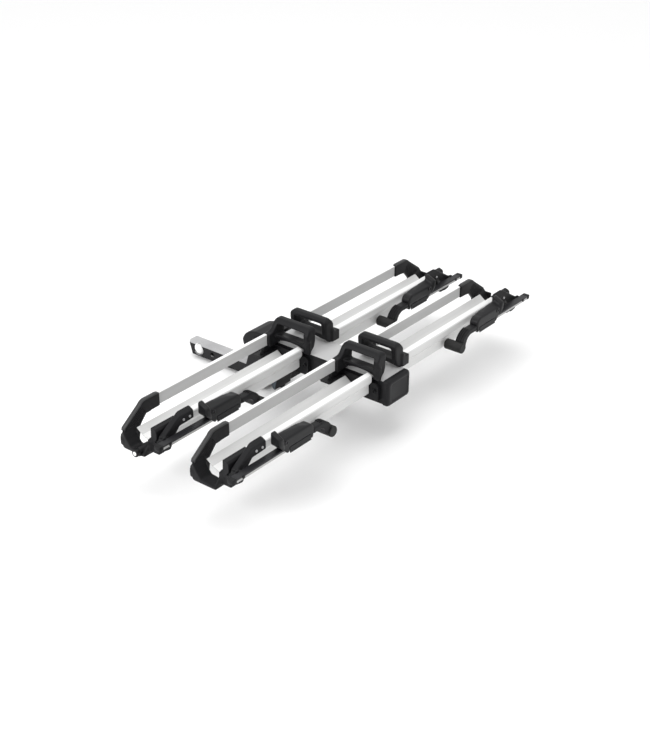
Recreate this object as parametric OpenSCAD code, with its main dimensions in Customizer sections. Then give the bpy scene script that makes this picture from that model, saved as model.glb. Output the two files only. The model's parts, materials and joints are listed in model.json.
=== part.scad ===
// Two-place platform carrier for a hitch receiver, shown level with its wheel arms folded down.
// Millimetres. X runs along the trays, +Y points to the vehicle, +Z is up.
// The origin is the centre of the hitch-pin hole in the shank.

/* [Trays] */
// Distance between the two trays, centre to centre
tray_pitch = 285; // [262:1:345]
// Inner end of the rear rails, measured from the centre line
rear_rail_start = 105; // [98:1:128]
// Outer end of the rear rails, measured from the centre line
rail_reach = 608; // [505:1:735]
// Height of the rear rail section
rear_rail_h = 40; // [30:1:44]
// Width of the rear rail section
rear_rail_w = 12; // [10:0.5:14]
// Wall of the rail extrusions
rail_wall = 2.2; // [1.8:0.1:2.8]

/* [Spine] */
// Width of the spine tube
spine_w = 112; // [96:1:124]
// Height of the spine tube
spine_h = 81; // [74:1:98]
// Wall of the spine tube
spine_wall = 4; // [3:0.5:5]
// Distance from the outer tray's centre line to the free end of the spine
spine_overhang = 69.5; // [69:0.5:90]
// Distance from the inner tray's centre line to the tilt bolt
tilt_setback = 182.5; // [176:0.5:220]

/* [Hitch] */
// Side of the square shank that enters the receiver
shank_w = 50; // [47:0.5:60]
// Length of shank from the cheek plates to its free end
shank_len = 304; // [270:1:390]
// Diameter of the hitch-pin hole
pin_hole_d = 16.3; // [13.6:0.1:19]
// Diameter of the tilt bolt
tilt_bolt_d = 16; // [13.3:0.1:19.2]

/* [Wheel arms] */
// Length of the handle that slides on the arm bar
slider_len = 144; // [125:1:160]
// Width of the arm bar
bar_w = 22; // [19:0.5:24]
// Diameter of the tyre pad
pad_d = 36; // [30:1:43]
// Diameter of the arm hinge pin
arm_pin_d = 8; // [6.6:0.1:9.6]

/* [Hidden] */
RUN = 0.3;
PIN_RUN = 0.05;
FACE = 0.01;

// Heights are measured from the wheel level; the frame is moved to the hitch pin at the end.
SPINE_TOP = 2;
SPINE_BOTTOM = SPINE_TOP - spine_h;
SPINE_SIDE = spine_w / 2;
TILT_Y = tray_pitch / 2 + tilt_setback;
TILT_Z = -42;
SPINE_FRONT = -tray_pitch / 2 - spine_overhang;
PEDAL_Y = tray_pitch / 2 + 49.5;
SHANK_Z = -164;
SHANK_START = TILT_Y + 53;
SHANK_END = SHANK_START + shank_len;
PIN_Y = SHANK_END - 112;

REAR_Y = 98.3;
REAR_Z = 10.8;
REAR_TOP = REAR_Z + rear_rail_h;
FRONT_START = SPINE_SIDE + 14;
FRONT_END = rail_reach + 112;

// Cradle stations, measured outwards from the end of the rear rail
C0 = rail_reach;
WING_BACK = -31;
WING_FACE = -52;

// Arm stations
BAR_BACK = WING_FACE - 6;
BAR_FACE = BAR_BACK - bar_w;
BAR_TOP = 6;
BAR_BOTTOM = -7;
ARM_X = C0 + 137;
ARM_Z = -0.5;
BAR_OUT = ARM_X + 37;
SLIDE_X = C0 - 26;
SLIDE_END = SLIDE_X - slider_len;
BAR_IN = SLIDE_END + 4;
SLIDE_BACK = BAR_BACK + 5.2;
SLIDE_FACE = BAR_FACE - 7;
SLIDE_BOTTOM = BAR_BOTTOM - 3;
PAD_X = SLIDE_END - 88;
PAD_Z = -32;
PAD_BACK = -23;
PAD_FRONT = SLIDE_FACE - 3;

TRAYS = ["inner", "outer"];
SIDES = ["left", "right"];
function tray_y(t) = (t == "inner" ? 0.5 : -0.5) * tray_pitch;

// ---- helpers ----

// Points of an arc from angle a0 to a1 about (cx, cy)
function arc(cx, cy, r, a0, a1, n = 6) =
  [for (i = [0 : n]) let (a = a0 + (a1 - a0) * i / n) [cx + r * cos(a), cy + r * sin(a)]];

// A bar along X between x0 and x1 with the given outline of [y, z] points
module bar_x(x0, x1, outline)
  translate([x0, 0, 0]) rotate([90, 0, 90]) linear_extrude(x1 - x0) polygon(outline);

// A plate between y0 (front) and y1 (back) with the given outline of [x, z] points
module plate_y(y0, y1, outline)
  translate([0, y1, 0]) rotate([90, 0, 0]) linear_extrude(y1 - y0) polygon(outline);

module box(x0, x1, y0, y1, z0, z1) translate([x0, y0, z0]) cube([x1 - x0, y1 - y0, z1 - z0]);
module rod_x(x0, x1, y, z, d) translate([x0, y, z]) rotate([0, 90, 0]) cylinder(d = d, h = x1 - x0, $fn = 48);
module rod_y(y0, y1, x, z, d) translate([x, y1, z]) rotate([90, 0, 0]) cylinder(d = d, h = y1 - y0, $fn = 48);
module rod_z(z0, z1, x, y, d) translate([x, y, z0]) cylinder(d = d, h = z1 - z0, $fn = 48);

// Everything is drawn for the right-hand side of a tray and put in its quarter
module quarter(t, s)
  translate([0, tray_y(t), 0]) mirror([s == "left" ? 1 : 0, 0, 0]) children();

// Moves the whole model so that the hitch pin is the origin
module placed() translate([0, -PIN_Y, -SHANK_Z]) children();

// ---- hitch side ----

// Square steel tube with the pin hole, and a pocket near its end for the clamping ball
BALL_Y = SHANK_END - 46;
BALL_D = 42;
BALL_R = BALL_D / 2;
BALL_OUT = 6;
SHANK_WALL = 5;
SHANK_CHAMFER = 8;
module shank() color("dimgray") difference() {
  plate_y(SHANK_START, SHANK_END, [
    [-shank_w / 2, SHANK_Z - shank_w / 2], [shank_w / 2, SHANK_Z - shank_w / 2],
    [shank_w / 2, SHANK_Z + shank_w / 2 - SHANK_CHAMFER], [shank_w / 2 - SHANK_CHAMFER, SHANK_Z + shank_w / 2],
    [SHANK_CHAMFER - shank_w / 2, SHANK_Z + shank_w / 2], [-shank_w / 2, SHANK_Z + shank_w / 2 - SHANK_CHAMFER]]);
  box(-shank_w / 2 + SHANK_WALL, shank_w / 2 - SHANK_WALL, SHANK_START - 1, SHANK_END + 1,
    SHANK_Z - shank_w / 2 + SHANK_WALL, SHANK_Z + shank_w / 2 - SHANK_WALL);
  rod_x(-shank_w, shank_w, PIN_Y, SHANK_Z, pin_hole_d);
  // window for the ball
  rod_x(-shank_w, 0, BALL_Y, SHANK_Z, BALL_D + 3);
  // slanted free end
  translate([0, SHANK_END, SHANK_Z + shank_w / 2]) rotate([-18, 0, 0]) box(-shank_w, shank_w, 0, 40, -80, 20);
}

CHEEK_T = 7;
CHEEK_IN = SPINE_SIDE + RUN + 0.7;
CHEEK_OUT = CHEEK_IN + CHEEK_T;
CHEEK_FOOT = SHANK_Z - shank_w / 2;
LATCH_HOLE_D = 8;
module cheek_plate(x0, x1) bar_x(x0, x1, concat(
  [[TILT_Y + 62, CHEEK_FOOT], [TILT_Y + 52, TILT_Z - 84], [TILT_Y + 38, TILT_Z - 40]],
  arc(TILT_Y, TILT_Z, 34, -20, 170, 8),
  [[TILT_Y - 36, TILT_Z - 30], [TILT_Y - 22, CHEEK_FOOT]]));
module cheek_bracket() color("#2b2c2e") difference() {
  union() {
    for (s = [-1, 1]) cheek_plate(s > 0 ? CHEEK_IN : -CHEEK_OUT, s > 0 ? CHEEK_OUT : -CHEEK_IN);
    // floor plate that carries the shank
    box(-CHEEK_OUT, CHEEK_OUT, TILT_Y - 22, SHANK_START, CHEEK_FOOT, CHEEK_FOOT + 14);

    // collar around the root of the shank
    box(-CHEEK_OUT, CHEEK_OUT, SHANK_START - 16, SHANK_START - FACE, CHEEK_FOOT, SHANK_Z + shank_w / 2);
  }
  rod_x(-CHEEK_OUT - 1, CHEEK_OUT + 1, TILT_Y, TILT_Z, tilt_bolt_d + 2 * PIN_RUN);
  rod_y(TILT_Y - 30, SHANK_START + 1, 0, ROD_Z, ROD_D + 1);
  for (s = [-1, 1]) rod_x(s > 0 ? CHEEK_IN - 1 : -CHEEK_OUT - 1, s > 0 ? CHEEK_OUT + 1 : -CHEEK_IN + 1,
    TILT_Y - 5, TILT_Z - 28, LATCH_HOLE_D);
}

NUT_T = 5;
module tilt_bolt() color("#1f2022") {
  rod_x(-CHEEK_OUT - 1, CHEEK_OUT + 1, TILT_Y, TILT_Z, tilt_bolt_d);
  for (s = [-1, 1]) rod_x(s > 0 ? CHEEK_OUT + FACE : -CHEEK_OUT - NUT_T - FACE,
    s > 0 ? CHEEK_OUT + NUT_T + FACE : -CHEEK_OUT - FACE, TILT_Y, TILT_Z, tilt_bolt_d * 1.5);
}

// Notched disc fixed on the tilt bolt, which the latch holds
DISC_R = 36;
DISC_T = 14;
module lock_disc() color("silver") difference() {
  rod_x(-DISC_T / 2, DISC_T / 2, TILT_Y, TILT_Z, 2 * DISC_R);
  rod_x(-DISC_T, DISC_T, TILT_Y, TILT_Z, tilt_bolt_d + 2 * FACE);
  box(-DISC_T, DISC_T, TILT_Y - DISC_R - 1, TILT_Y - DISC_R + 8, LATCH_Z - LATCH_H / 2 - 0.5, LATCH_Z + LATCH_H / 2 + 0.5);
}

// Draw rod along the shank with the tightening knob at the carrier end
ROD_D = 10;
ROD_Z = SHANK_Z - shank_w / 2 + SHANK_WALL + ROD_D / 2 + 1;
KNOB_Y = TILT_Y - 44;
module draw_rod_and_knob() color("#303133") {
  rod_y(KNOB_Y, BALL_Y - BALL_D / 2 - 2, 0, ROD_Z, ROD_D);
  difference() {
    rod_y(KNOB_Y - 16, KNOB_Y + 8, 0, ROD_Z, 44);
    for (a = [0 : 45 : 315]) translate([0, 0, ROD_Z]) rotate([0, a, 0])
      rod_y(KNOB_Y - 17, KNOB_Y + 9, 24, 0, 9);
  }
}

module hitch_ball() color("whitesmoke")
  translate([-shank_w / 2 - BALL_OUT, BALL_Y, SHANK_Z]) rotate([0, 90, 0]) rotate_extrude($fn = 64) polygon(concat(
    [[0, BALL_R + BALL_R * sin(-82)]], arc(0, BALL_R, BALL_R, -82, 40, 14), [[0, BALL_R + BALL_R * sin(40)]]));

// ---- spine ----

HEAD_W = spine_w - 10;
HEAD_GAP = DISC_T + 4;
END_WALL = TILT_Y - 40;
GUIDE_Y = PEDAL_Y - 62;
module spine() color("#2b2c2e") difference() {
  union() {
    difference() {
      box(-SPINE_SIDE, SPINE_SIDE, SPINE_FRONT, END_WALL, SPINE_BOTTOM, SPINE_TOP);
      box(-SPINE_SIDE + spine_wall, SPINE_SIDE - spine_wall, SPINE_FRONT - 1, END_WALL - 8,
        SPINE_BOTTOM + spine_wall, SPINE_TOP - spine_wall);
    }
    // tilt head: a lug on each side of the lock disc
    bar_x(-HEAD_W / 2, HEAD_W / 2, concat(
      [[END_WALL - 1, SPINE_BOTTOM + 6]], arc(TILT_Y, TILT_Z, 28, -80, 80, 8), [[END_WALL - 1, SPINE_TOP - 4]]));
    // guide plate for the rear of the latch
    box(-SPINE_SIDE + 1, SPINE_SIDE - 1, GUIDE_Y, GUIDE_Y + 6, SPINE_BOTTOM + 1, SPINE_TOP - 1);
  }
  box(-HEAD_GAP / 2, HEAD_GAP / 2, END_WALL, TILT_Y + 40, TILT_Z - 60, TILT_Z + 60);
  rod_x(-SPINE_SIDE - 1, SPINE_SIDE + 1, TILT_Y, TILT_Z, tilt_bolt_d + 2 * PIN_RUN);
  // windows for the latch in the end wall and in the guide plate
  box(-LATCH_W / 2 - RUN, LATCH_W / 2 + RUN, GUIDE_Y - 1, END_WALL + 1, LATCH_Z - LATCH_H / 2 - RUN, LATCH_Z + LATCH_H / 2 + RUN);
  // slot for the pedal's lever
  box(-LEVER_W / 2 - 2, LEVER_W / 2 + 2, PEDAL_Y - 17, PEDAL_Y + 9, SPINE_BOTTOM - 1, SPINE_BOTTOM + spine_wall + 1);
}

PLATE_T = 3;
PLATE_BACK = TILT_Y - 60;
module spine_top_plate() color("#bcbcbc")
  box(-SPINE_SIDE - 2, SPINE_SIDE + 2, SPINE_FRONT + 12, PLATE_BACK, SPINE_TOP + FACE, SPINE_TOP + PLATE_T);

// Plastic cap over the free end of the spine: a plain face with a shallow blank panel
CAP_T = 10;
CAP_SKIN = 4;
CAP_DEPTH = 22;
module spine_end_cap() color("#27282a") difference() {
  bar_x(-SPINE_SIDE - CAP_SKIN, SPINE_SIDE + CAP_SKIN, [
    [SPINE_FRONT - CAP_T, SPINE_BOTTOM + 6], [SPINE_FRONT - CAP_T + 5, SPINE_BOTTOM - CAP_SKIN],
    [SPINE_FRONT + CAP_DEPTH, SPINE_BOTTOM - CAP_SKIN], [SPINE_FRONT + CAP_DEPTH, SPINE_TOP - 12],
    [SPINE_FRONT + 4, SPINE_TOP + CAP_SKIN + 2], [SPINE_FRONT - CAP_T, SPINE_TOP + CAP_SKIN]]);
  box(-SPINE_SIDE - RUN, SPINE_SIDE + RUN, SPINE_FRONT - FACE, SPINE_FRONT + CAP_DEPTH + 1,
    SPINE_BOTTOM - RUN, SPINE_TOP + 40);
  box(-SPINE_SIDE + 14, SPINE_SIDE - 6, SPINE_FRONT - CAP_T - 1, SPINE_FRONT - CAP_T + 1.2,
    SPINE_BOTTOM + 12, SPINE_TOP - 12);
}

// Rounded plastic cover over the tilt head
COVER_T = 4;
COVER_IN = SPINE_SIDE - COVER_T;
COVER_Z = TILT_Z - 16;
COVER_TOP = SPINE_TOP + PLATE_T + 5;
COVER_START = END_WALL + 4;
function cover_back(g) = concat([[TILT_Y + 14, COVER_TOP + 1 - g]], arc(TILT_Y + 18, TILT_Z - 6, 56 - g, 78, 15, 8));
module tilt_cover() color("#2b2c2e") difference() {
  bar_x(-SPINE_SIDE, SPINE_SIDE, concat([[COVER_START, COVER_Z], [COVER_START, SPINE_TOP + PLATE_T + RUN],
    [COVER_START - 20, SPINE_TOP + PLATE_T + RUN], [COVER_START - 14, COVER_TOP]], cover_back(0), [[TILT_Y + 66, COVER_Z]]));
  bar_x(-COVER_IN, COVER_IN, concat([[COVER_START - 1, COVER_Z - 1], [COVER_START - 1, COVER_TOP - COVER_T]],
    cover_back(COVER_T), [[TILT_Y + 66 - COVER_T, COVER_Z - 1]]));
  rod_x(-SPINE_SIDE - 1, SPINE_SIDE + 1, TILT_Y, TILT_Z, tilt_bolt_d + 6);
}

// Foot pedal beside the spine that draws the tilt latch
PEDAL_Z = SPINE_BOTTOM - 24;
PEDAL_PIN_D = 10;
PEDAL_LUG = 12;
LEVER_W = 7;
LEVER_T = 10;
module release_pedal() color("#2b2c2e") difference() {
  union() {
    // paddle that sticks out to the side
    bar_x(-SPINE_SIDE - 84, -SPINE_SIDE - 4, [
      [PEDAL_Y - 20, SPINE_BOTTOM - 6], [PEDAL_Y - 12, SPINE_BOTTOM - 2], [PEDAL_Y + 6, SPINE_BOTTOM - 8],
      [PEDAL_Y - 2, SPINE_BOTTOM - 40], [PEDAL_Y - 12, SPINE_BOTTOM - 44]]);
    // arm under the spine
    box(-SPINE_SIDE - 6, 20, PEDAL_Y - 10, PEDAL_Y + 8, PEDAL_Z - 14, PEDAL_Z + 10);
    // lever that reaches up through the spine's floor into the latch
    box(-LEVER_W / 2, LEVER_W / 2, PEDAL_Y - LEVER_T / 2, PEDAL_Y + LEVER_T / 2, PEDAL_Z, LATCH_Z + 7);
  }
  rod_x(-SPINE_SIDE - 8, SPINE_SIDE, PEDAL_Y, PEDAL_Z, PEDAL_PIN_D + 2 * PIN_RUN);
}
module pedal_pin() color("silver") {
  rod_x(-SPINE_SIDE + 2, SPINE_SIDE - 6, PEDAL_Y, PEDAL_Z, PEDAL_PIN_D);
  // hanger that bolts under the spine
  box(SPINE_SIDE - 30, SPINE_SIDE - 6, PEDAL_Y - PEDAL_LUG, PEDAL_Y + PEDAL_LUG, PEDAL_Z - PEDAL_LUG, SPINE_BOTTOM - FACE);
}

// Sliding latch inside the spine, drawn by the pedal's lever; its tip stands at the notch of the lock disc
LATCH_Z = TILT_Z;
LATCH_W = 12;
LATCH_H = 10;
YOKE_W = 20;
module latch_bar() color("silver") difference() {
  union() {
    box(-LATCH_W / 2, LATCH_W / 2, GUIDE_Y - 12, TILT_Y - DISC_R - 0.5, LATCH_Z - LATCH_H / 2, LATCH_Z + LATCH_H / 2);
    box(-YOKE_W / 2, YOKE_W / 2, PEDAL_Y - 27, PEDAL_Y + 23, LATCH_Z - LATCH_H / 2, LATCH_Z + LATCH_H / 2);
  }
  box(-LEVER_W / 2 - 1, LEVER_W / 2 + 1, PEDAL_Y - LEVER_T / 2 - 1, PEDAL_Y + LEVER_T / 2 + 4.5,
    LATCH_Z - LATCH_H, LATCH_Z + LATCH_H);
}

// ---- trays ----

module rear_rail(t, s) color("#e4e4e2") quarter(t, s) difference() {
  bar_x(rear_rail_start, rail_reach, [
    [REAR_Y, REAR_Z], [REAR_Y + rear_rail_w, REAR_Z], [REAR_Y + rear_rail_w, REAR_TOP - 1],
    [REAR_Y + rear_rail_w - 1, REAR_TOP], [REAR_Y + 1.5, REAR_TOP], [REAR_Y, REAR_TOP - 2]]);
  bar_x(rear_rail_start - 1, rail_reach + 1, [
    [REAR_Y + rail_wall, REAR_Z + rail_wall], [REAR_Y + rear_rail_w - rail_wall, REAR_Z + rail_wall],
    [REAR_Y + rear_rail_w - rail_wall, REAR_TOP - rail_wall], [REAR_Y + rail_wall, REAR_TOP - rail_wall]]);
}

// Front extrusion: a bead in front, a box below it and a trough that rises to a slanted flange
FLANGE_Y = 84;
FLANGE_Z = -15;
BEAD_Y = -22;
BEAD_Z = 25;
BOX_Y = 27;
BOX_Z = -60;
TROUGH_Z = -40;
module front_rail(t, s) color("#f0f0ee") quarter(t, s) difference() {
  bar_x(FRONT_START, FRONT_END, [
    [FLANGE_Y, FLANGE_Z], [61, -32], [39, TROUGH_Z], [11, TROUGH_Z], [0, -32], [-4, BEAD_Z],
    [BEAD_Y + 3, BEAD_Z - 5], [BEAD_Y, BEAD_Z - 8], [BEAD_Y, -4], [-10, -20], [-11, -48], [1, BOX_Z], [BOX_Y, BOX_Z],
    [BOX_Y, TROUGH_Z - 3.5], [40, TROUGH_Z - 3.5], [62.5, -35], [FLANGE_Y + 2, FLANGE_Z - 3]]);
  bar_x(FRONT_START - 1, FRONT_END + 1, [
    [-6.4, BEAD_Z - 3.2], [BEAD_Y + rail_wall, BEAD_Z - 8.6], [BEAD_Y + rail_wall, -3], [-10 + rail_wall, -19],
    [-11 + rail_wall, -47], [2, BOX_Z + rail_wall], [BOX_Y - rail_wall, BOX_Z + rail_wall],
    [BOX_Y - rail_wall, TROUGH_Z - rail_wall], [10.4, TROUGH_Z - rail_wall], [-2.2, -33]]);
  // bead cut back at the cradle
  plate_y(BEAD_Y - 1, 8, [[FRONT_END - 62, BEAD_Z + 1], [FRONT_END + 1, BEAD_Z + 1], [FRONT_END + 1, -20], [FRONT_END - 24, -20]]);
}

// Casting on each side of the spine that carries the inner ends of one tray's rails
SADDLE_X = 150;
SADDLE_T = 13;
SADDLE_Z = -66;
PED_Z = REAR_Z - RUN;
module saddle_half() {
  // plate bolted to the side of the spine
  bar_x(SPINE_SIDE + FACE, SPINE_SIDE + SADDLE_T, [
    [-46, SADDLE_Z], [40, SADDLE_Z], [118, SADDLE_Z + 36], [118, SPINE_TOP - 0.5], [-36, -6], [-46, -16]]);
  // shelf under the front extrusion
  bar_x(SPINE_SIDE + FACE, SPINE_SIDE + 32, [
    [122, -12], [FLANGE_Y + 2.5, -12], [FLANGE_Y + 2.5, -18.4], [62.8, -35.4], [40.2, TROUGH_Z - 3.9], [BOX_Y + 1, TROUGH_Z - 3.9],
    [BOX_Y + 1, TROUGH_Z - 10], [42, TROUGH_Z - 10], [66, -41], [92, -18], [122, -18]]);
  // thin plate and post under the rear rail
  box(SPINE_SIDE + FACE, SADDLE_X, FLANGE_Y + 2.5, 122, -17, -12);
  box(HOOP_FOOT + 2 * RUN, SADDLE_X - 30, 100, 112, -13, PED_Z);
  box(SPINE_SIDE + SADDLE_T - 1, HOOP_FOOT + 3 * RUN, 100, 112, -13, PLATE_TOP - RUN);
  // spigot inside the front extrusion
  box(SPINE_SIDE + FACE, SADDLE_X, SPIGOT_Y, SPIGOT_Y + 19, BOX_Z + 4, TROUGH_Z - 5);
}
SPIGOT_Y = 2.8;
module saddles(t) color("#242527") for (s = SIDES) quarter(t, s) saddle_half();

BOLT_D = 12;
module saddle_bolts() color("#1f2022") for (t = TRAYS) for (s = SIDES) quarter(t, s) {
  difference() {
    rod_x(SPINE_SIDE + SADDLE_T + FACE, SPINE_SIDE + SADDLE_T + 6, -33, -33, BOLT_D);
    rod_x(SPINE_SIDE + SADDLE_T + 3, SPINE_SIDE + SADDLE_T + 7, -33, -33, BOLT_D / 2);
  }
  difference() {
    rod_z(-12 + FACE, -7, 130, 102, BOLT_D);
    rod_z(-9, -6, 130, 102, BOLT_D / 2);
  }
}

// Moulded hoop at the inner end of each rail pair: legs, a hand-grip bar on top and a thin arch
HOOP_IN = 26;
HOOP_TOP = 94;
HOOP_BACK = 108;
HOOP_FRONT = -44;
LEG_T = 19;
HOOP_R = 15;
HOOP_FOOT = rear_rail_start - RUN;
PLATE_TOP = SPINE_TOP + PLATE_T + RUN;
OPEN_BACK = HOOP_BACK - LEG_T;
ARCH_Z = 24;
ARCH_T = 12;
GRIP_Z = 76;
FOOT_REACH = 24;
FOOT_TOP = 42;
OPEN_FRONT = HOOP_FRONT + LEG_T;
HOOP_LINE = concat(
  [[HOOP_IN + 24, PLATE_TOP], [HOOP_IN + 6, PLATE_TOP + 16], [HOOP_IN, HOOP_TOP - 52]],
  arc(HOOP_IN + 10, HOOP_TOP - 12, 12, 175, 90, 4),
  arc(HOOP_IN + 21, HOOP_TOP - 10, 10, 80, 20, 3),
  [[HOOP_FOOT - 30, REAR_TOP + 12], [HOOP_FOOT - 16, REAR_TOP + 1], [HOOP_FOOT, REAR_TOP], [HOOP_FOOT, PLATE_TOP]]);
module hoop(t, s) color("#2b2c2e") quarter(t, s) {
  if (s == "right") box(HOOP_IN + 38, FRONT_START + FOOT_REACH, HOOP_FRONT - 6, BEAD_Y - RUN, PLATE_TOP, FOOT_TOP);
  difference() {
  union() {
    intersection() {
      plate_y(HOOP_FRONT, HOOP_BACK, HOOP_LINE);
      // rounded upper corners of the loop
      bar_x(0, 200, concat([[HOOP_FRONT, 0]], arc(HOOP_FRONT + HOOP_R, HOOP_TOP - HOOP_R, HOOP_R, 180, 90, 4),
        arc(HOOP_BACK - HOOP_R, HOOP_TOP - HOOP_R, HOOP_R, 90, 0, 4), [[HOOP_BACK, 0]]));
    }
    // socket of the rear leg, beside the end of the rear rail
    box(SPINE_SIDE + 12, HOOP_FOOT, HOOP_BACK - 1, REAR_Y + rear_rail_w + 3, PLATE_TOP, REAR_TOP + 1);
    // tenon inside the rear rail
    box(HOOP_FOOT - 2, HOOP_FOOT + 36, REAR_Y + rail_wall + RUN, REAR_Y + rear_rail_w - rail_wall - RUN,
      REAR_Z + rail_wall + RUN, REAR_TOP - rail_wall - RUN);
    // foot of the front leg, beside the end of the front extrusion
    box(HOOP_IN + 30, FRONT_START - RUN, HOOP_FRONT - 6, HOOP_FRONT + LEG_T + 6, PLATE_TOP, REAR_TOP - 1);
  }
  // hand opening through the hoop, under the grip bar
  plate_y(OPEN_FRONT, OPEN_BACK, [[0, ARCH_Z + ARCH_T], [HOOP_IN + 24, ARCH_Z + ARCH_T], [140, 62], [140, GRIP_Z], [0, GRIP_Z]]);
  // hollow under the arch, and the open rail side
  bar_x(0, HOOP_IN + 50, concat([[OPEN_BACK, -10]], [for (k = [-2 : 2]) [(OPEN_FRONT + OPEN_BACK) / 2
    - k * (OPEN_BACK - OPEN_FRONT) / 4, ARCH_Z - 2.5 * k * k]], [[OPEN_FRONT, -10]]));
  plate_y(OPEN_FRONT, OPEN_BACK, [[HOOP_IN + 34, -10], [140, -10], [140, 100], [HOOP_IN + 52, 56], [HOOP_IN + 46, ARCH_Z + ARCH_T - 2],
    [HOOP_IN + 38, ARCH_Z]]);
  // the front leg's outer face stands over the front extrusion
  box(FRONT_START - RUN, 200, HOOP_FRONT - 10, OPEN_FRONT + 7, -20, REAR_TOP + 60);
  }
}

// Wheel cradle at the outer end: rear cheek, floor, front wing and the seat of the arm hinge
CHEEK_W = 10;
OUT_X = C0 + 162;
LIP_Y = 8;
LIP_Z = -17;
LIP_T = 7;
FLOOR_Z = -70;
CHEEK_FACE = REAR_Y - 4;
REAR_CHEEK = concat(
  [[C0 + RUN, 8], [C0 + 60, 5], [C0 + 90, -28], [C0 + 100, FLOOR_Z], [OUT_X - 12, FLOOR_Z], [OUT_X - 2, FLOOR_Z + 10],
   [OUT_X, FLOOR_Z + 28], [OUT_X - 4, -26], [C0 + 148, -21], [C0 + 153, -16], [C0 + 151, -6]],
  arc(C0 + 60, 24, 30, 38, 88, 5),
  [[C0 + 14, 54], [C0 + RUN, 51.5]]);
WING_LINE = concat(
  [[C0 + 5, 19], [C0 + 66, 17], [C0 + 82, 0], [C0 + 96, -26], [C0 + 108, FLOOR_Z + 26], [C0 + 136, FLOOR_Z + 30],
   [C0 + 144, -16], [C0 + 134, 8]],
  arc(C0 + 50, 30, 27, 42, 88, 4),
  [[C0 + 8, 57], [C0 + 5, 53]]);
module cradle(t, s) color("#2b2c2e") quarter(t, s) difference() {
  union() {
    plate_y(CHEEK_FACE, REAR_Y + CHEEK_W, REAR_CHEEK);
    // tenon inside the rear rail
    box(C0 - 40, C0 + 2, REAR_Y + rail_wall + RUN, REAR_Y + rear_rail_w - rail_wall - RUN - 1.5,
      REAR_Z + rail_wall + RUN, REAR_TOP - rail_wall - RUN);
    // floor beyond the end of the front extrusion, rising to the rear cheek
    bar_x(FRONT_END + RUN, OUT_X - 2, [[REAR_Y + 1, FLOOR_Z + 2], [REAR_Y + 1, -10], [CHEEK_FACE, -14], [80, -38], [64, -57],
      [LIP_Y + 2, -62], [LIP_Y + 2, FLOOR_Z], [REAR_Y - 8, FLOOR_Z]]);
    // lip along its front, high beside the rail and low at the outer end
    plate_y(LIP_Y, LIP_Y + LIP_T, [[FRONT_END + RUN, FLOOR_Z], [OUT_X - 3, FLOOR_Z], [OUT_X - 2, FLOOR_Z + 6], [FRONT_END + 12, LIP_Z],
      [FRONT_END + RUN, LIP_Z]]);
    if (t == "inner" && s == "left") rod_x(FRONT_END + 4, OUT_X + 5, LOCK_Y, LOCK_Z, LOCK_D + 5);
    // raised outer corner beside the rear cheek
    if (s == "right") box(OUT_X - 9, OUT_X - 1, 64, REAR_Y + 1, FLOOR_Z + 20, -20);
    // strip of floor between the flange and the rear cheek
    plate_y(FLANGE_Y + 4, REAR_Y + 1, [[C0 + 92, -36], [C0 + 98, FLOOR_Z], [FRONT_END + 1, FLOOR_Z], [FRONT_END + 1, -16],
      [C0 + 97, -26]]);
    // bridge from the lip to the front wing, and the wing's thicker root
    plate_y(WING_BACK - 1, LIP_Y + LIP_T, [[FRONT_END + RUN, FLOOR_Z + 12], [FRONT_END + 26, FLOOR_Z + 12],
      [FRONT_END + 26, LIP_Z - 4], [FRONT_END + 12, LIP_Z], [FRONT_END + RUN, LIP_Z]]);
    plate_y(WING_BACK - 1, BEAD_Y - RUN, [[C0 + 84, 2], [C0 + 96, -26], [C0 + 108, FLOOR_Z + 26], [C0 + 136, FLOOR_Z + 30],
      [C0 + 138, -12], [C0 + 104, 11], [C0 + 88, 17]]);
    // spigot inside the front extrusion
    box(FRONT_END - 50, FRONT_END + 2, SPIGOT_Y, SPIGOT_Y + 19, BOX_Z + 4, TROUGH_Z - 5);
    // front wing
    plate_y(WING_FACE, WING_BACK, WING_LINE);
    // boss around the arm hinge pin
    rod_y(BAR_BACK + RUN, WING_FACE + 1, ARM_X, ARM_Z, 24);
  }
  // slope of the wing's top face
  translate([0, WING_BACK, 59]) rotate([30, 0, 0]) box(C0 - 10, OUT_X + 20, -60, 0, 0, 60);
  // hinge pin bore
  rod_y(BAR_BACK - 1, WING_BACK - 4, ARM_X, ARM_Z, arm_pin_d);
  // screw bores
  for (x = SCREW_X) rod_y(WING_FACE - 1, WING_FACE + 12, C0 + x, SCREW_Z, SCREW_D);
  // groove along the floor
  box(FRONT_END - 1, OUT_X + 1, LIP_Y + 26, LIP_Y + 29, FLOOR_Z + 5, 0);
  if (t == "inner" && s == "left") rod_x(OUT_X - 20, OUT_X + 6, LOCK_Y, LOCK_Z, LOCK_D + 2 * RUN);
}
SCREW_X = [24, 50];
SCREW_Z = 33;
SCREW_D = 4;
module cradle_screws() color("#1f2022") for (t = TRAYS) for (s = SIDES) quarter(t, s) for (x = SCREW_X) {
  rod_y(WING_FACE - FACE, WING_FACE + 10, C0 + x, SCREW_Z, SCREW_D - 2 * RUN);
  rod_y(WING_FACE - 2.5, WING_FACE - FACE, C0 + x, SCREW_Z, 8);
}

module arm_hinge_pins() color("silver") for (t = TRAYS) for (s = SIDES) quarter(t, s) {
  rod_y(BAR_FACE - RUN, WING_BACK - 5, ARM_X, ARM_Z, arm_pin_d);
  rod_y(BAR_FACE - RUN - 1.5, BAR_FACE - RUN, ARM_X, ARM_Z, arm_pin_d * 1.3);
}

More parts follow.
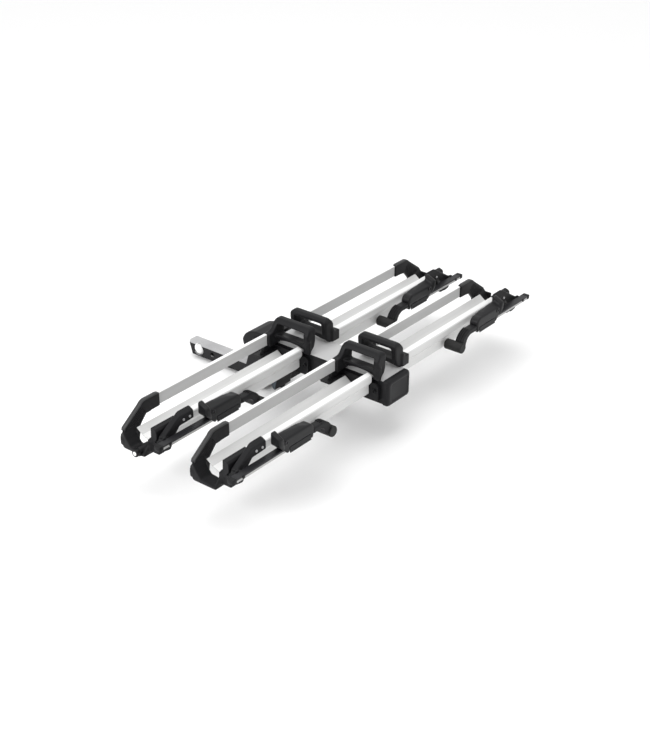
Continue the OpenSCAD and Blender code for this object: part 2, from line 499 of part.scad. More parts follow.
// Key barrel on the left end of the inner tray
LOCK_D = 25;
LOCK_Y = 30;
LOCK_Z = -56;
LOCK_IN = OUT_X - 19;
LOCK_OUT = OUT_X + 19;
module lock_barrel() color("silver") quarter("inner", "left") difference() {
  rod_x(LOCK_IN, LOCK_OUT, LOCK_Y, LOCK_Z, LOCK_D);
  box(LOCK_OUT - 2, LOCK_OUT + 1, LOCK_Y - 1, LOCK_Y + 1, LOCK_Z - 5, LOCK_Z + 5);
}

// ---- wheel arms ----

RACK_PITCH = 10;
module arm_bar(t, s) color("#d9d9d7") quarter(t, s) difference() {
  box(BAR_IN, BAR_OUT, BAR_FACE, BAR_BACK, BAR_BOTTOM, BAR_TOP);
  // toothed channel in the top of the bar
  for (x = [BAR_IN + 8 : RACK_PITCH : ARM_X - 60]) box(x, x + 5, BAR_FACE + 5, BAR_BACK - 5, BAR_TOP - 3, BAR_TOP + 1);
  rod_y(BAR_FACE - 1, BAR_BACK + 1, ARM_X, ARM_Z, arm_pin_d + 2 * PIN_RUN);
}

// Plastic plug over the outer end of the bar
PLUG_T = 8;
module end_plug(t, s) color("#1f2022") quarter(t, s)
  box(BAR_OUT + FACE, BAR_OUT + PLUG_T, BAR_FACE - 0.5, BAR_BACK + 0.5, BAR_BOTTOM - 2, BAR_TOP + 0.5);

// Hollow handle that runs along the bar, with a flared collar at the hinge end
COLLAR_T = 17;
module slider(t, s) color("#2b2c2e") quarter(t, s) difference() {
  union() {
    plate_y(SLIDE_FACE, SLIDE_BACK, concat(
      [[SLIDE_END + 4, SLIDE_BOTTOM], [SLIDE_X - 22, SLIDE_BOTTOM], [SLIDE_X, BAR_TOP + 4], [SLIDE_X, 52],
       [SLIDE_END + 50, 46]],
      arc(SLIDE_END + 22, 20, 22, 80, 180, 5)));
    // flared collar, deeper in front than behind
    bar_x(SLIDE_X - 2, SLIDE_X + COLLAR_T, [[SLIDE_BACK, 24], [SLIDE_BACK, 66], [SLIDE_BACK - 6, 68],
      [SLIDE_FACE - 4, 52], [SLIDE_FACE - 4, 2], [SLIDE_FACE + 4, 2]]);
  }
  // channel for the bar
  box(SLIDE_END - 10, SLIDE_X + COLLAR_T + 1, BAR_FACE - RUN, BAR_BACK + RUN, BAR_BOTTOM - RUN, BAR_TOP + RUN);
  // slope from the far top edge down to the ridge
  translate([0, SLIDE_BACK - 4, 53]) rotate([22, 0, 0]) box(SLIDE_END - 10, SLIDE_X - 1, -60, 0, 0, 40);
  // collar cut back under the hinge end
  plate_y(SLIDE_FACE - 6, SLIDE_BACK + 1, [[SLIDE_X - 24, SLIDE_BOTTOM - 1], [SLIDE_X + COLLAR_T + 1, 30],
    [SLIDE_X + COLLAR_T + 1, SLIDE_BOTTOM - 1]]);
  // relief behind the trigger
  box(SLIDE_END + 14, SLIDE_X - 30, SLIDE_FACE - 1, SLIDE_FACE + 4.2, SLIDE_BOTTOM - 1, 8);
}

TRIG_IN = SLIDE_END + 16;
TRIG_OUT = SLIDE_X - 32;
TRIG_Z = 6;
TRIG_Y = SLIDE_FACE + 1.2;
module trigger(t, s) color("#3a3b3d") quarter(t, s) {
  rod_x(TRIG_IN, TRIG_OUT, TRIG_Y, TRIG_Z, 2.8);
  bar_x(TRIG_IN, TRIG_OUT, [
    [TRIG_Y - 1.4, TRIG_Z], [TRIG_Y + 1.4, TRIG_Z], [TRIG_Y + 1.0, SLIDE_BOTTOM + 2],
    [TRIG_Y - 1, SLIDE_BOTTOM - 2], [TRIG_Y - 3.2, SLIDE_BOTTOM - 1], [TRIG_Y - 1.8, SLIDE_BOTTOM + 4]]);
}

// Curved neck from the handle down to the tyre pad
NECK_BACK = SLIDE_BACK - 3;
NECK_FACE = SLIDE_FACE + 2;
HOOK_LINE = concat(
  [[SLIDE_END - FACE, 18], [SLIDE_END - 30, 18]],
  arc(SLIDE_END - 36, -34, 52, 90, 176, 6),
  [[PAD_X + 4, PAD_Z]],
  [[PAD_X + 26, PAD_Z]],
  arc(SLIDE_END - 30, -32, 32, 170, 90, 4),
  [[SLIDE_END - FACE, 0]]);
module hook(t, s) color("#242527") quarter(t, s) difference() {
  plate_y(NECK_FACE, NECK_BACK, HOOK_LINE);
  rod_y(NECK_FACE - 1, NECK_BACK + 1, PAD_X, PAD_Z, pad_d + 2 * FACE);
}

module pad(t, s) color("#1f2022") quarter(t, s) rod_y(PAD_FRONT, PAD_BACK, PAD_X, PAD_Z, pad_d);

placed() shank();
placed() cheek_bracket();
placed() tilt_bolt();
placed() lock_disc();
placed() draw_rod_and_knob();
placed() hitch_ball();
placed() spine();
placed() spine_top_plate();
placed() spine_end_cap();
placed() tilt_cover();
placed() release_pedal();
placed() pedal_pin();
placed() latch_bar();
placed() saddles("inner");  // saddles_inner
placed() saddles("outer");  // saddles_outer
placed() saddle_bolts();
placed() arm_hinge_pins();
placed() cradle_screws();
placed() lock_barrel();
for (t = TRAYS) for (s = SIDES) {
  placed() rear_rail(t, s);
  placed() front_rail(t, s);
  placed() hoop(t, s);
  placed() cradle(t, s);
  placed() arm_bar(t, s);
  placed() end_plug(t, s);
  placed() slider(t, s);
  placed() trigger(t, s);
  placed() hook(t, s);
  placed() pad(t, s);
}
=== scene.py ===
import json
import math

import bmesh
import bpy
from mathutils import Matrix, Vector


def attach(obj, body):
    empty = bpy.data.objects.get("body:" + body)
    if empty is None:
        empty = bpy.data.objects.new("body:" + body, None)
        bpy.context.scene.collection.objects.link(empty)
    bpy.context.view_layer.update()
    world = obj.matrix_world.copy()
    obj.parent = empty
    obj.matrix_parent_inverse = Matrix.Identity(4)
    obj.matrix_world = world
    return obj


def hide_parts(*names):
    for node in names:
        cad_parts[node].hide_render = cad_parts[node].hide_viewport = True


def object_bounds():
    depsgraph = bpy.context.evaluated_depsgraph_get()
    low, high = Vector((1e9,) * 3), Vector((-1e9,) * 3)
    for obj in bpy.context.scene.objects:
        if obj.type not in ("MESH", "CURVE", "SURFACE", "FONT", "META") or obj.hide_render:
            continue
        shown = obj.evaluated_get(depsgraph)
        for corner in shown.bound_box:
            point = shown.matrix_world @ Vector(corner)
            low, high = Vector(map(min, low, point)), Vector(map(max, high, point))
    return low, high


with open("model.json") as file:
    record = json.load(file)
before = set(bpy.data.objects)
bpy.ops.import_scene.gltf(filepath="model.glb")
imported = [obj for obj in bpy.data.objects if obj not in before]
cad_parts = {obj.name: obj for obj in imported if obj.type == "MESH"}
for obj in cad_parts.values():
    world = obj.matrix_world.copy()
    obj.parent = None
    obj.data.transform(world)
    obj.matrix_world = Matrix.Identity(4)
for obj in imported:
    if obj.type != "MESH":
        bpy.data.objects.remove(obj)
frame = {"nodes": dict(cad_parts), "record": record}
cad_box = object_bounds()
nodes = frame["nodes"]
record = frame["record"]

# ---- Camera ----
# A long lens at the left rear corner, looking down on the carrier from knee height to roof height.
# The turn, tilt and roll are in radians, counted from looking along +Y on the level.
turn, tilt, roll = -0.898147, 0.493349, 0.00175
back = Vector((math.sin(turn) * math.cos(tilt), -math.cos(turn) * math.cos(tilt), math.sin(tilt)))
level = Vector((math.cos(turn), math.sin(turn), 0))
upward = back.cross(level)
right = level * math.cos(roll) + upward * math.sin(roll)
up = upward * math.cos(roll) - level * math.sin(roll)
lens = bpy.data.cameras.new("camera")
lens.lens = 66.0
lens.sensor_width = 36.0
lens.sensor_fit = "AUTO"
lens.clip_end = 50
camera = bpy.data.objects.new("camera", lens)
camera.matrix_world = Matrix.Translation((-3.1486, -2.9977, 2.2381)) @ Matrix(
    (right, up, back)).transposed().to_4x4()
bpy.context.scene.collection.objects.link(camera)
bpy.context.scene.camera = camera

# ---- Studio ----
# A pale floor just under the carrier, an even white surround, and two large soft lamps: one above
# and one on the left, so that faces turned to the rear lie in light shade.


class Wire:
    """A node's output that takes part in sums."""

    def __init__(self, finish, socket):
        self.finish = finish
        self.socket = socket

    def sum(self, operation, first, second):
        return self.finish.add("ShaderNodeMath", {"operation": operation}, {0: first, 1: second})

    def __add__(self, other):
        return self.sum("ADD", self, other)

    def __mul__(self, other):
        return self.sum("MULTIPLY", self, other)

    __radd__ = __add__
    __rmul__ = __mul__


class Finish:
    """A material, its shader, and the one method that adds any other node."""

    def __init__(self, name, color, roughness, **sockets):
        self.material = bpy.data.materials.new(name)
        self.material.use_nodes = True
        self.tree = self.material.node_tree
        self.shader = self.tree.nodes["Principled BSDF"]
        self.set("Base Color", (*color, 1))
        self.set("Roughness", roughness)
        for socket, value in sockets.items():
            self.set(socket.replace("_", " "), value)

    def join(self, value, socket):
        if isinstance(value, Wire):
            self.tree.links.new(value.socket, socket)
        else:
            socket.default_value = value

    def set(self, socket, value):
        self.join(value, self.shader.inputs[socket])

    def add(self, kind, settings=None, values=None, out=0):
        node = self.tree.nodes.new(kind)
        for name, value in (settings or {}).items():
            if name == "stops":
                for i, (place, color) in enumerate(value):
                    stop = node.color_ramp.elements[i] if i < 2 else node.color_ramp.elements.new(place)
                    stop.position = place
                    stop.color = (*color, 1)
            else:
                setattr(node, name, value)
        for name, value in (values or {}).items():
            self.join(value, node.inputs[name])
        return Wire(self, node.outputs[out])

    def spots(self, scale, detail=3.0, stretch=(1, 1, 1)):
        """Noise in the object's own space, with its grain stretched along the given axes."""
        place = self.add("ShaderNodeTexCoord", out=3)
        grain = self.add("ShaderNodeMapping", None, {0: place, 3: stretch})
        return self.add("ShaderNodeTexNoise", None, {"Vector": grain, "Scale": scale, "Detail": detail})

    def bump(self, height, distance, strength=1.0):
        values = {"Height": height, "Distance": distance, "Strength": strength}
        self.set("Normal", self.add("ShaderNodeBump", None, values))

    def tint(self, amount, dark, light):
        values = {0: amount, 6: (*dark, 1), 7: (*light, 1)}
        self.set("Base Color", self.add("ShaderNodeMix", {"data_type": "RGBA"}, values, out=2))


pale = Finish("pale_floor", (0.95, 0.95, 0.95), 0.9)
pale.set("Roughness", pale.spots(3.0) * 0.1 + 0.85)
ground = bmesh.new()
bmesh.ops.create_grid(ground, x_segments=8, y_segments=8, size=20)
floor_mesh = bpy.data.meshes.new("floor")
ground.to_mesh(floor_mesh)
ground.free()
floor = bpy.data.objects.new("floor", floor_mesh)
floor.location.z = cad_box[0][2] - 0.002
floor_mesh.materials.append(pale.material)
bpy.context.scene.collection.objects.link(floor)

surround = bpy.data.worlds.new("surround")
surround.use_nodes = True
surround.node_tree.nodes["Background"].inputs[0].default_value = (1, 1, 1, 1)
surround.node_tree.nodes["Background"].inputs[1].default_value = 1.0
bpy.context.scene.world = surround
bpy.context.scene.view_settings.view_transform = "Standard"


def lamp(name, place, aim, power, size):
    light = bpy.data.lights.new(name, "AREA")
    light.energy = power
    light.shape = "SQUARE"
    light.size = size
    holder = bpy.data.objects.new(name, light)
    holder.location = place
    holder.rotation_euler = (Vector(aim) - Vector(place)).to_track_quat("-Z", "Y").to_euler()
    bpy.context.scene.collection.objects.link(holder)


lamp("overhead", (0.3, -0.3, 3.4), (0, -0.6, 0), 30, 2.4)
lamp("left_side", (-4.2, 0.6, 2.6), (0, -0.5, 0.1), 85, 1.6)

# ---- Hitch side ----
# A square steel tube goes into the receiver and is welded to two cheek plates, all powder coated black, with light
# grey on the tube's top faces as a painted sheen.
# A draw rod runs through it from a fluted knob to a steel clamping ball in the tube's side, painted white as a
# painted reflection of the white surround.

body_of = {n: body for body, names in record["behaviour"]["bodies"].items() for n in names}


def finished(mesh, name, node, finishes, stands_for=True):
    """Puts a mesh in the scene on the body of a CAD node, and in its place if asked."""
    for finish in finishes:
        mesh.materials.append(finish.material)
    piece = bpy.data.objects.new(name, mesh)
    bpy.context.scene.collection.objects.link(piece)
    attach(piece, body_of[node])
    if stands_for:
        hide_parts(node)
    return piece


def copied(node, which=None):
    """A bmesh with a CAD node's shape; which(face) gives the number of a face's finish."""
    shape = bmesh.new()
    shape.from_mesh(nodes[node].data)
    bmesh.ops.remove_doubles(shape, verts=shape.verts, dist=1e-5)
    bmesh.ops.dissolve_limit(shape, angle_limit=math.radians(0.5), verts=shape.verts, edges=shape.edges)
    for face in shape.faces:
        face.smooth = True
        face.material_index = which(face) if which else 0
    return shape


def made(shape, name):
    mesh = bpy.data.meshes.new(name)
    shape.to_mesh(mesh)
    shape.free()
    return mesh


def rounded(piece, width, segments=2, angle=28):
    edge = piece.modifiers.new("rounded_edges", "BEVEL")
    edge.width = width
    edge.segments = segments
    edge.limit_method = "ANGLE"
    edge.angle_limit = math.radians(angle)
    edge.miter_outer = "MITER_ARC"
    piece.modifiers.new("even_shading", "WEIGHTED_NORMAL")
    return piece


def worked(node, finish, width=0.0015, segments=2, which=None, others=()):
    """A metal piece: the CAD node's shape with its edges broken."""
    return rounded(finished(made(copied(node, which), node + "_shape"), node + "_finished", node,
                            [finish, *others]), width, segments)


def kept(node, finish):
    """A node that keeps its CAD shape and only takes a finish."""
    for i in range(len(nodes[node].data.materials)):
        nodes[node].data.materials[i] = finish.material


coated = Finish("black_powder_coat", (0.010, 0.010, 0.011), 0.42, Specular_IOR_Level=0.18)
coated.bump(coated.spots(420, 3.0), 0.0002, 0.4)
coated.set("Roughness", coated.spots(11.0) * 0.14 + 0.34)
coated.tint(coated.spots(4.0), (0.006, 0.006, 0.007), (0.014, 0.014, 0.015))

zinc = Finish("zinc_plated_steel", (0.55, 0.55, 0.56), 0.3, Metallic=1.0)
zinc.set("Roughness", zinc.spots(60.0) * 0.2 + 0.22)
zinc.tint(zinc.spots(20.0), (0.48, 0.48, 0.50), (0.62, 0.62, 0.62))

# A light grey coat: the cradle screws' own colour, and a painted sheen on the shank's top faces.
grey_coat_and_painted_sheen = Finish("scuffed_grey_coat", (0.30, 0.30, 0.30), 0.45, Specular_IOR_Level=0.4)
grey_coat_and_painted_sheen.bump(grey_coat_and_painted_sheen.spots(500, 3.0, (1, 0.1, 1)), 0.0001, 0.5)
grey_coat_and_painted_sheen.tint(grey_coat_and_painted_sheen.spots(9.0), (0.20, 0.20, 0.21), (0.55, 0.55, 0.55))

# Painted reflection: the steel clamping ball and the lock barrel's chrome face are painted white, standing in for
# their reflection of the white surround.
reflection_white = Finish("white_nylon", (0.85, 0.85, 0.84), 0.35)
reflection_white.set("Roughness", reflection_white.spots(30.0) * 0.1 + 0.3)
reflection_white.bump(reflection_white.spots(500, 2.0), 0.00008, 0.3)
reflection_white.tint(reflection_white.spots(12.0), (0.80, 0.80, 0.79), (0.90, 0.90, 0.89))

knob_plastic = Finish("knob_nylon", (0.010, 0.010, 0.011), 0.45, Specular_IOR_Level=0.18)
knob_plastic.bump(knob_plastic.spots(1400, 2.0), 0.00012, 0.35)
knob_plastic.tint(knob_plastic.spots(9.0), (0.006, 0.006, 0.007), (0.014, 0.014, 0.015))

# The shank's up-facing faces take the light grey as a painted sheen of the white surround; its sides stay black.
worked("shank", coated, 0.003, 2, lambda face: 1 if face.normal.z > 0.5 else 0, [grey_coat_and_painted_sheen])
worked("cheek_bracket", coated, 0.001)
worked("draw_rod_and_knob", knob_plastic, 0.001)
# The clamping ball is painted white as a painted reflection.
worked("hitch_ball", reflection_white, 0.001)
kept("tilt_bolt", coated)
kept("lock_disc", zinc)

# ---- Spine ----
# A rectangular steel tube, powder coated, with a bolted sheet on top, a moulded cap over the free
# end, a moulded cover over the tilt head, and a foot pedal under it that draws the latch.

MM = 0.001
PIN = Vector((0, 570, -164))


def at(x, y, z):
    """A point of the level carrier in millimetres, measured from the wheel level on the centre line."""
    return (Vector((x, y, z)) - PIN) * MM


def lofted(rings, close_first, close_last):
    """A skin through rings of points that have the same count."""
    shape = bmesh.new()
    rows = [[shape.verts.new(p) for p in ring] for ring in rings]
    count = len(rows[0])
    for a, b in zip(rows, rows[1:]):
        for i in range(count):
            shape.faces.new((a[i], a[(i + 1) % count], b[(i + 1) % count], b[i]))
    if close_first:
        shape.faces.new(list(reversed(rows[0])))
    if close_last:
        shape.faces.new(rows[-1])
    bmesh.ops.recalc_face_normals(shape, faces=shape.faces)
    for face in shape.faces:
        face.smooth = True
    return shape


def round_rectangle(left, right, low, high, radius, steps=6):
    """Corner-rounded rectangle as (across, up) pairs."""
    points = []
    for cx, cz, start in [(right - radius, high - radius, 0), (left + radius, high - radius, 90),
                          (left + radius, low + radius, 180), (right - radius, low + radius, 270)]:
        for i in range(steps + 1):
            a = math.radians(start + 90 * i / steps)
            points.append((cx + radius * math.cos(a), cz + radius * math.sin(a)))
    return points


moulded = Finish("moulded_nylon", (0.010, 0.010, 0.011), 0.48, Specular_IOR_Level=0.16)
moulded.bump(moulded.spots(1400, 2.0), 0.00012, 0.35)
moulded.set("Roughness", moulded.spots(9.0) * 0.16 + 0.38)
moulded.tint(moulded.spots(5.0), (0.006, 0.006, 0.007), (0.014, 0.014, 0.015))

sheet = Finish("matt_grey_sheet", (0.50, 0.50, 0.50), 0.6)
sheet.bump(sheet.spots(700, 2.0, (1, 0.03, 1)), 0.00006, 0.5)
sheet.tint(sheet.spots(5.0), (0.47, 0.47, 0.47), (0.53, 0.53, 0.53))

worked("spine", coated, 0.002)
worked("spine_top_plate", sheet, 0.0006, 2, lambda face: 0 if face.normal.z > 0.5 else 1, [coated])

CAP_FACE = -222
CAP_BACK = -201
cap_rings = []
for y, grow, radius in [(CAP_BACK, 0, 9), (CAP_FACE + 9, 0, 9), (CAP_FACE + 5, -1, 10),
                        (CAP_FACE + 2, -3, 11), (CAP_FACE + 0.5, -6, 12), (CAP_FACE, -8, 12)]:
    edge = round_rectangle(-60 - grow, 60 + grow, -83 - grow, 7 + grow, radius)
    cap_rings.append([at(x, y, z) for x, z in edge])
for y, inset in [(CAP_FACE, 11), (CAP_FACE + 0.9, 12), (CAP_FACE + 1.2, 13)]:
    edge = round_rectangle(-42 + inset - 12, 58 - inset, -81 + inset, 5 - inset, 8)
    cap_rings.append([at(x, y, z) for x, z in edge])
finished(made(lofted(cap_rings, False, True), "end_cap_shell"), "spine_end_cap_finished",
         "spine_end_cap", [moulded])


def moulding(node, finish, grid=0.003, rounds=6, others=()):
    """A moulded piece: the CAD node's shape rounded off, as a mould's radii leave it."""
    piece = finished(made(copied(node), node + "_shape"), node + "_finished", node, [finish, *others])
    skin = piece.modifiers.new("even_skin", "REMESH")
    skin.mode = "VOXEL"
    skin.voxel_size = grid
    skin.use_smooth_shade = True
    ease = piece.modifiers.new("mould_radii", "SMOOTH")
    ease.factor = 0.5
    ease.iterations = rounds
    return piece


moulding("tilt_cover", moulded, 0.003, 8)
moulding("release_pedal", moulded, 0.0025, 6)
# Painted highlight: a thin blue-grey plate on the pedal's rounded left end, standing in for the highlight that end
# catches.
pedal_end_painted_highlight = Finish("pedal_end_rubber", (0.045, 0.055, 0.065), 0.6, Specular_IOR_Level=0.3)
pedal_end_painted_highlight.bump(pedal_end_painted_highlight.spots(900, 2.0), 0.0002, 0.5)
pedal_end_painted_highlight.tint(pedal_end_painted_highlight.spots(12.0), (0.030, 0.040, 0.050), (0.065, 0.080, 0.095))
# Rings of the thin painted highlight plate on the pedal's end.
highlight_rings = []
for x, grow in [(-139.6, -1), (-140.6, 0), (-141, -1)]:
    highlight_rings.append([at(x, 192 + y, z) for y, z in [(-20 - grow, -85), (-12, -81 + grow), (6 + grow, -87),
                                                (-2 + grow, -118), (-12, -122 - grow)]])
rounded(finished(made(lofted(highlight_rings, True, True), "pedal_end"), "pedal_end_pad", "release_pedal",
                 [pedal_end_painted_highlight], False), 0.0004)
kept("pedal_pin", zinc)
kept("latch_bar", zinc)

# ---- Saddles and bolts ----
# Black steel saddles bolted to the sides of the spine carry the rails. Socket-head bolts, black.

worked("saddles_inner", coated, 0.001)
worked("saddles_outer", coated, 0.001)
worked("saddle_bolts", coated, 0.0006)

# ---- Rails ----
# Aluminium extrusions, anodised: a tall slim rear rail and a troughed front rail for each wheel.
# Their upper faces carry a brushed grain and are painted bright as a painted highlight from above, and their sides
# are painted darker as painted shade.

TRAYS = ["inner", "outer"]
SIDES = ["left", "right"]
TRAY_MIDDLE = {"inner": 142.5, "outer": -142.5}
OUTWARD = {"left": -1, "right": 1}
quarters = [(t + "_" + s, OUTWARD[s], TRAY_MIDDLE[t]) for t in TRAYS for s in SIDES]

# Painted highlight: the bright copy of the anodised colour, for the rails' up-facing faces.
brushed_painted_lit_top = Finish("brushed_anodised", (0.88, 0.88, 0.87), 0.45, Specular_IOR_Level=0.5)
brushed_painted_lit_top.bump(brushed_painted_lit_top.spots(900, 2.0, (0.02, 1, 1)), 0.00005, 0.5)
brushed_painted_lit_top.set("Roughness", brushed_painted_lit_top.spots(300, 2.0, (0.02, 1, 1)) * 0.16 + 0.40)
brushed_painted_lit_top.tint(brushed_painted_lit_top.spots(60.0, 3.0, (0.02, 1, 1)), (0.80, 0.80, 0.80), (0.94, 0.94, 0.93))

# Painted shade: a darker copy of the same anodised colour, for the rear rails' sides.
painted_shade_side = Finish("matt_anodised_side", (0.52, 0.52, 0.52), 0.5, Specular_IOR_Level=0.4)
painted_shade_side.bump(painted_shade_side.spots(900, 2.0, (0.02, 1, 1)), 0.00005, 0.5)
painted_shade_side.set("Roughness", painted_shade_side.spots(300, 2.0, (0.02, 1, 1)) * 0.16 + 0.45)
painted_shade_side.tint(painted_shade_side.spots(60.0, 3.0, (0.02, 1, 1)), (0.44, 0.44, 0.44), (0.54, 0.54, 0.54))

# Painted shade, lighter: another copy of the same anodised colour, for the front rails' sides and lower faces.
painted_light_shade_side = Finish("pale_anodised_side", (0.70, 0.70, 0.70), 0.5, Specular_IOR_Level=0.4)
painted_light_shade_side.bump(painted_light_shade_side.spots(900, 2.0, (0.02, 1, 1)), 0.00005, 0.5)
painted_light_shade_side.tint(painted_light_shade_side.spots(60.0, 3.0, (0.02, 1, 1)), (0.56, 0.56, 0.56), (0.76, 0.76, 0.75))

# Up-facing faces take the painted highlight copy, and all other faces take a painted shade copy.
for tray, out, middle in quarters:
    worked("rear_rail_" + tray, painted_shade_side, 0.0006, 2,
           lambda face: 1 if face.normal.z > 0.5 else 0, [brushed_painted_lit_top])
    worked("front_rail_" + tray, painted_light_shade_side, 0.0008, 2,
           lambda face: 1 if face.normal.z > 0.86 else 0, [brushed_painted_lit_top])

# ---- Hoops ----
# Glass-filled nylon mouldings, each one a hand grip on two legs with a thin arch below it. The rear
# leg holds a tenon in the rear rail, and the front leg stands beside the front rail.

for tray, out, middle in quarters:
    moulding("hoop_" + tray, moulded, 0.0025, 14)

# ---- Cradles, screws and lock ----
# The wheel cradle is one moulding with a honeycombed inner face; a paler strip along its rear cheek's outward edge
# is a painted highlight where light falls on that edge.
# Two plated screws hold its wing. A key barrel sits in the left end of the inner tray.

# Painted highlight: a paler plastic colour laid along the rear cheek's outward edge, standing in for the light
# that edge catches.
painted_highlight_rim = Finish("cheek_band_nylon", (0.030, 0.030, 0.031), 0.5, Specular_IOR_Level=0.35)
painted_highlight_rim.bump(painted_highlight_rim.spots(1500, 2.0), 0.00012, 0.4)
painted_highlight_rim.tint(painted_highlight_rim.spots(9.0), (0.024, 0.024, 0.025), (0.040, 0.040, 0.041))

RAIL_END = 608
CHEEK_NEAR = 94.3
CHEEK_FAR = 108.3
cheek_edge = [(4, 52.5), (14, 54.5)]
for i in range(7):
    a = math.radians(88 - 50 * i / 6)
    cheek_edge.append((60 + 30.4 * math.cos(a), 24 + 30.4 * math.sin(a)))
cheek_edge += [(117, 19), (151, -5.6), (153.6, -14)]
STUD = 2.5
STUD_STEP = 5.8
comb_field = [(62, 14), (80, 37), (141, -9), (130, -26), (96, -26)]


def inside(x, z, outline):
    hit = False
    for (x0, z0), (x1, z1) in zip(outline, outline[1:] + outline[:1]):
        if (z0 > z) != (z1 > z) and x < x0 + (x1 - x0) * (z - z0) / (z1 - z0):
            hit = not hit
    return hit


for tray, out, middle in quarters:
    moulding("cradle_" + tray, moulded, 0.0025, 5)
    # A thin strip that follows the cheek's edge and carries the painted highlight.
    lit_rim_rings = []
    for i, (x, z) in enumerate(cheek_edge):
        before = cheek_edge[max(i - 1, 0)]
        after = cheek_edge[min(i + 1, len(cheek_edge) - 1)]
        along = Vector((after[0] - before[0], 0, after[1] - before[1])).normalized()
        off = Vector((-along.z, 0, along.x))
        lit_rim_rings.append([at(out * (RAIL_END + x + off.x * h), middle + y, z + off.z * h)
                     for y, h in [(CHEEK_NEAR - 0.4, -3), (CHEEK_NEAR - 0.4, 0.2), (CHEEK_NEAR + 0.8, 1.0),
                                  (CHEEK_FAR - 0.8, 1.0), (CHEEK_FAR, 0.2), (CHEEK_FAR, -3)]])
    finished(made(lofted(lit_rim_rings, True, True), "band_" + tray), "cheek_band_" + tray, "cradle_" + tray,
             [painted_highlight_rim], False)
    # sleeve over the end of the front rail's bead
    sleeve = []
    for x, grow in [(652, -0.6), (654, 0.6), (744, 0.6), (746, -0.6)]:
        sleeve.append([at(out * x, middle + y, z) for y, z in [
            (grow, -34), (-1.2 + grow, 24 + grow), (-5, 27.5 + grow), (-18, 23.5 + grow), (-23 - grow, 18),
            (-24 - grow, -6), (-12 - grow, -24), (-12 - grow, -36)]])
    rounded(finished(made(lofted(sleeve, True, True), "sleeve_" + tray), "bead_sleeve_" + tray, "cradle_" + tray,
                     [moulded], False), 0.0015)
    comb = bmesh.new()
    for row in range(14):
        for column in range(18):
            x = 58 + STUD_STEP * (column + 0.5 * (row % 2))
            z = -28 + STUD_STEP * 0.866 * row
            if inside(x, z, comb_field):
                rims = []
                for y, size in [(CHEEK_NEAR + 0.5, STUD), (CHEEK_NEAR - 0.8, STUD),
                                (CHEEK_NEAR - 1.2, STUD - 0.5)]:
                    rims.append([comb.verts.new(at(
                        out * (RAIL_END + x + size * math.sin(k * math.pi / 3)), middle + y,
                        z + size * math.cos(k * math.pi / 3))) for k in range(6)])
                for lower, upper in zip(rims, rims[1:]):
                    for k in range(6):
                        comb.faces.new((lower[k], lower[(k + 1) % 6], upper[(k + 1) % 6], upper[k]))
                comb.faces.new(rims[-1])
                comb.faces.new(list(reversed(rims[0])))
    bmesh.ops.recalc_face_normals(comb, faces=comb.faces)
    finished(made(comb, "comb_" + tray), "honeycomb_" + tray, "cradle_" + tray, [moulded], False)
kept("cradle_screws", grey_coat_and_painted_sheen)

barrel = []
for x, r in [(751, 12), (783, 12.5), (786, 11.6), (786.4, 7.4), (786.4, 6.6), (787.4, 6.4), (787.8, 5)]:
    barrel.append([at(-x, 142.5 + 30 + r * math.cos(k * math.pi / 16), -56 + r * math.sin(k * math.pi / 16))
                   for k in range(32)])
barrel_skin = lofted(barrel, True, True)
# The barrel's outer face takes the painted reflection white, standing in for its chrome.
for face in barrel_skin.faces:
    middle_point = face.calc_center_median()
    if middle_point.x < at(-786.5, 0, 0).x:
        face.material_index = 1
finished(made(barrel_skin, "key_barrel_shape"), "key_barrel", "lock_barrel", [coated, reflection_white])

# ---- Wheel arms ----
# An aluminium bar with a black toothed strip let into its top, hinged on a pin at its outer end
# and closed with a slim plastic plug.

strip_plastic = Finish("toothed_strip_nylon", (0.012, 0.012, 0.013), 0.4, Specular_IOR_Level=0.25)
strip_plastic.bump(strip_plastic.spots(900, 2.0), 0.0001, 0.35)
strip_plastic.tint(strip_plastic.spots(9.0), (0.008, 0.008, 0.010), (0.018, 0.018, 0.020))

bright = Finish("bright_bar_side", (0.40, 0.40, 0.40), 0.35, Metallic=0.3)
bright.bump(bright.spots(900, 2.0, (0.02, 1, 1)), 0.00005, 0.5)
bright.tint(bright.spots(60.0, 3.0, (0.02, 1, 1)), (0.30, 0.30, 0.30), (0.48, 0.48, 0.47))

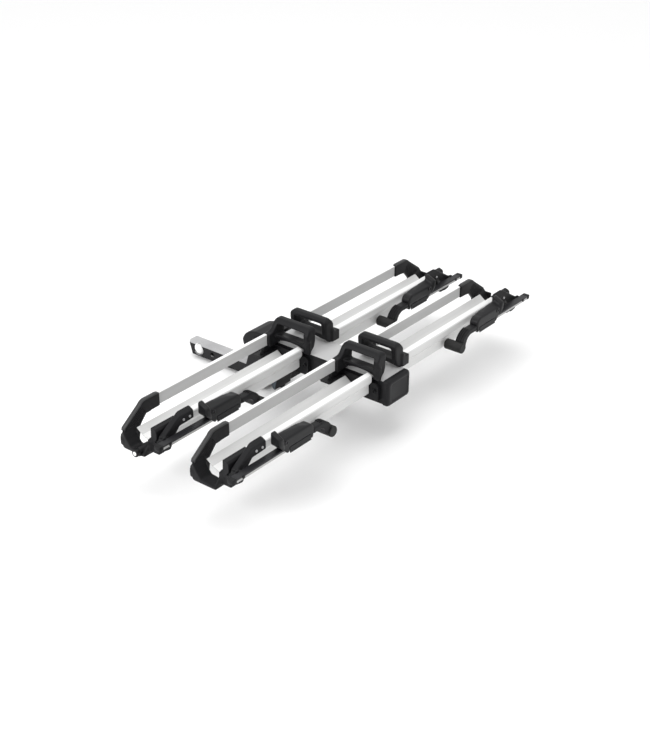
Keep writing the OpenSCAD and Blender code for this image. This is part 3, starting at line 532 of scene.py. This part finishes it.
TOOTH = 10
for tray, out, middle in quarters:
    worked("arm_bar_" + tray, bright, 0.0008)
    teeth = []
    for i in range(23):
        x = 450 + TOOTH * i
        teeth += [(x, 6.28), (x + 0.4, 6.06), (x + 4.6, 6.06), (x + 5, 6.28)]
    top_line = [(443, 0.5), (443, 6.28)] + teeth + [(773, 6.28), (773, 0.5)]
    strip = lofted([[at(out * x, middle + y, z) for x, z in top_line] for y in (-80.25, -57.8)], True, True)
    for face in strip.faces:
        face.smooth = False
    finished(made(strip, "strip_" + tray), "toothed_strip_" + tray, "arm_bar_" + tray,
             [strip_plastic], False)
    plug = []
    for x, grow in [(773, 0.2), (774, 0.7), (787, 0.7), (789, -0.4), (790, -2)]:
        edge = round_rectangle(-80 - grow, -58 + grow, -8 - grow, 6.2 + grow, 2, 3)
        plug.append([at(out * x, middle + y, z) for y, z in edge])
    finished(made(lofted(plug, True, True), "plug_" + tray), "end_plug_finished_" + tray,
             "end_plug_" + tray, [moulded])
kept("arm_hinge_pins", coated)

# ---- Sliding handles, hooks and pads ----
# A hollow nylon handle slides on the bar, with a sprung trigger on its face. A ribbed neck carries
# it down to a round rubber pad that presses on the tyre.

satin = Finish("satin_handle_plastic", (0.010, 0.010, 0.011), 0.36, Specular_IOR_Level=0.2)
satin.bump(satin.spots(2200, 2.0), 0.00006, 0.3)
satin.set("Roughness", satin.spots(14.0) * 0.14 + 0.31)
satin.tint(satin.spots(7.0), (0.006, 0.006, 0.007), (0.014, 0.014, 0.015))

rubber = Finish("tyre_pad_rubber", (0.012, 0.012, 0.012), 0.6, Specular_IOR_Level=0.25)
rubber.bump(rubber.spots(900, 2.0), 0.0002, 0.4)
rubber.set("Roughness", rubber.spots(20.0) * 0.15 + 0.5)
rubber.tint(rubber.spots(7.0), (0.009, 0.009, 0.009), (0.018, 0.018, 0.018))

NECK_X = 438 - 36
NECK_Z = -34
for tray, out, middle in quarters:
    moulding("slider_" + tray, satin, 0.003, 8)
    moulding("hook_" + tray, moulded, 0.0025, 6)
    worked("pad_" + tray, rubber, 0.003, 3)
    worked("trigger_" + tray, satin, 0.0008)
    boss = []
    for y, r in [(-84, 9), (-88.2, 9), (-89, 8), (-89, 4), (-87.8, 3.4)]:
        boss.append([at(out * (566 + r * math.cos(k * math.pi / 12)), middle + y,
                        30 + r * math.sin(k * math.pi / 12)) for k in range(24)])
    finished(made(lofted(boss, True, True), "boss_" + tray), "handle_boss_" + tray, "slider_" + tray,
             [satin], False)
    for near in [-58, -66, -74, -82]:
        ribs = []
        for i in range(13):
            a = math.radians(92 + 78 * i / 12)
            ribs.append([at(out * (NECK_X + r * math.cos(a)), middle + y, NECK_Z + r * math.sin(a))
                         for r, y in [(49, near - 1.6), (49, near + 1.6), (54.5, near + 1.1), (54.5, near - 1.1)]])
        rounded(finished(made(lofted(ribs, True, True), "rib_" + tray), "neck_rib_" + str(-near) + "_" + tray,
                         "hook_" + tray, [moulded], False), 0.0006)
